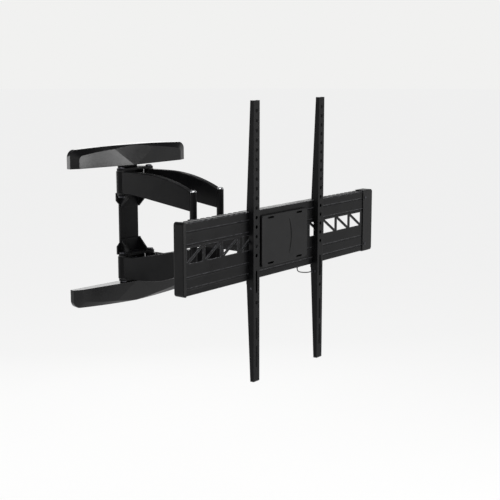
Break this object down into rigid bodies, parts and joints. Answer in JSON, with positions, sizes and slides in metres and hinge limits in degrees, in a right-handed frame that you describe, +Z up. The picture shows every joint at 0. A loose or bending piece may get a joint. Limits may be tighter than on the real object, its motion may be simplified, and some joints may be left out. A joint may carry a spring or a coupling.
{
  "type": "full motion tv wall mount",
  "caption": "Black steel wall mount with twin folding arms, a wide windowed rail and upright screen brackets that swing, fold, swivel, tilt and level.",
  "frame": {"origin": "middle of the wall plate's back face, on the wall plane", "axes": "+X to the right seen from the front, +Y into the wall, +Z up; the screen side faces -Y"},
  "size_m": [0.8785, 0.6497, 0.74],
  "materials": {
    "black_steel": "satin powder coat",
    "rail_steel": "satin powder coat",
    "bracket_steel": "satin powder coat",
    "post_steel": "satin",
    "bright_cap": "polished",
    "cover_plastic": "fine texture",
    "trim_plastic": "fine texture",
    "small_plastic": "matte",
    "bush_bronze": "sintered",
    "washer_plastic": "smooth",
    "dark_fastener": "black zinc",
    "tether": "braided"
  },
  "bodies": {
    "wall": {"wall_rail_upper": "black_steel", "wall_rail_lower": "black_steel", "wall_column": "black_steel", "column_bolts": "dark_fastener", "upper_pivot_bracket": "black_steel", "lower_pivot_bracket": "black_steel", "bracket_bolts": "dark_fastener", "upper_cover": "cover_plastic", "lower_cover": "cover_plastic", "left_upper_pin": "dark_fastener", "left_lower_pin": "dark_fastener", "right_upper_pin": "dark_fastener", "right_lower_pin": "dark_fastener", "shoulder_clips": "dark_fastener", "shoulder_washers": "washer_plastic"},
    "left_inner_arm": {"left_upper_arm": "black_steel", "left_lower_arm": "black_steel", "left_elbow_post": "post_steel", "left_post_caps": "bright_cap", "left_elbow_collars": "post_steel"},
    "right_inner_arm": {"right_upper_arm": "black_steel", "right_lower_arm": "black_steel", "right_elbow_post": "post_steel", "right_post_caps": "bright_cap", "right_elbow_collars": "post_steel"},
    "elbow_bushes": {"left_elbow_bush": "bush_bronze", "right_elbow_bush": "bush_bronze"},
    "left_outer_arm": {"left_forearm": "black_steel"},
    "right_outer_arm": {"right_forearm": "black_steel"},
    "carrier": {"head_carrier": "black_steel", "left_wrist_pin": "dark_fastener", "right_wrist_pin": "dark_fastener", "wrist_washers": "washer_plastic", "swivel_pin": "dark_fastener"},
    "swivel": {"swivel_block": "black_steel", "tilt_pin": "dark_fastener", "tilt_knobs": "small_plastic"},
    "tilt": {"tilt_frame": "black_steel", "level_bolt": "dark_fastener"},
    "rail": {"rail_panel": "rail_steel", "rail_spine": "black_steel", "left_end_cap": "trim_plastic", "right_end_cap": "trim_plastic", "end_cap_screws": "dark_fastener", "centre_cover": "trim_plastic", "left_bracket": "bracket_steel", "right_bracket": "bracket_steel", "left_bracket_foot": "small_plastic", "right_bracket_foot": "small_plastic", "left_latch_pin": "dark_fastener", "right_latch_pin": "dark_fastener", "tether_eyelet": "dark_fastener", "tether_cord": "tether", "tether_clip": "dark_fastener"},
    "left_catch": {"left_latch": "small_plastic"},
    "right_catch": {"right_latch": "small_plastic"}
  },
  "joints": [
    {"name": "left_swing", "type": "hinge", "parent": "wall", "child": "left_inner_arm", "pos_m": [-0.055, -0.038, 0], "axis": [0, 0, 1], "range_deg": [-67, 53]},
    {"name": "right_swing", "type": "hinge", "parent": "wall", "child": "right_inner_arm", "pos_m": [0.055, -0.038, 0], "axis": [0, 0, 1], "range_deg": [-67, 53]},
    {"name": "elbow_turn", "type": "hinge", "parent": "left_inner_arm", "child": "elbow_bushes", "pos_m": [-0.02173, -0.30897, 0], "axis": [0, 0, 1], "range_deg": [-53, 67]},
    {"name": "left_fold", "type": "hinge", "parent": "elbow_bushes", "child": "left_outer_arm", "pos_m": [-0.02173, -0.30897, 0], "axis": [0, 0, 1], "range_deg": [-62, 58]},
    {"name": "right_fold", "type": "hinge", "parent": "elbow_bushes", "child": "right_outer_arm", "pos_m": [0.08827, -0.30897, 0], "axis": [0, 0, 1], "range_deg": [-62, 58]},
    {"name": "carrier_turn", "type": "hinge", "parent": "left_outer_arm", "child": "carrier", "pos_m": [-0.01458, -0.51384, 0], "axis": [0, 0, 1], "range_deg": [-58, 62]},
    {"name": "head_swivel", "type": "hinge", "parent": "carrier", "child": "swivel", "pos_m": [0.04042, -0.53784, 0], "axis": [0, 0, 1], "range_deg": [-25.5, 14.5]},
    {"name": "head_tilt", "type": "hinge", "parent": "swivel", "child": "tilt", "pos_m": [0.04282, -0.56273, 0], "axis": [0.9954, 0.0958, 0], "range_deg": [-5, 12]},
    {"name": "rail_level", "type": "hinge", "parent": "tilt", "child": "rail", "pos_m": [0.04694, -0.60553, 0.012], "axis": [-0.0958, 0.9954, 0], "range_deg": [-3, 3]},
    {"name": "left_latch_pull", "type": "slide", "parent": "rail", "child": "left_catch", "axis": [0, 0, -1], "range_m": [0, 0.008], "stiffness_N_per_m": 200, "springref_m": -0.01},
    {"name": "right_latch_pull", "type": "slide", "parent": "rail", "child": "right_catch", "axis": [0, 0, -1], "range_m": [0, 0.008], "stiffness_N_per_m": 200, "springref_m": -0.01}
  ],
  "couplings": [
    {"joint": "right_swing", "follows": "left_swing", "ratio": 1},
    {"joint": "elbow_turn", "follows": "left_swing", "ratio": -1},
    {"joint": "right_fold", "follows": "left_fold", "ratio": 1},
    {"joint": "carrier_turn", "follows": "left_fold", "ratio": -1}
  ]
}
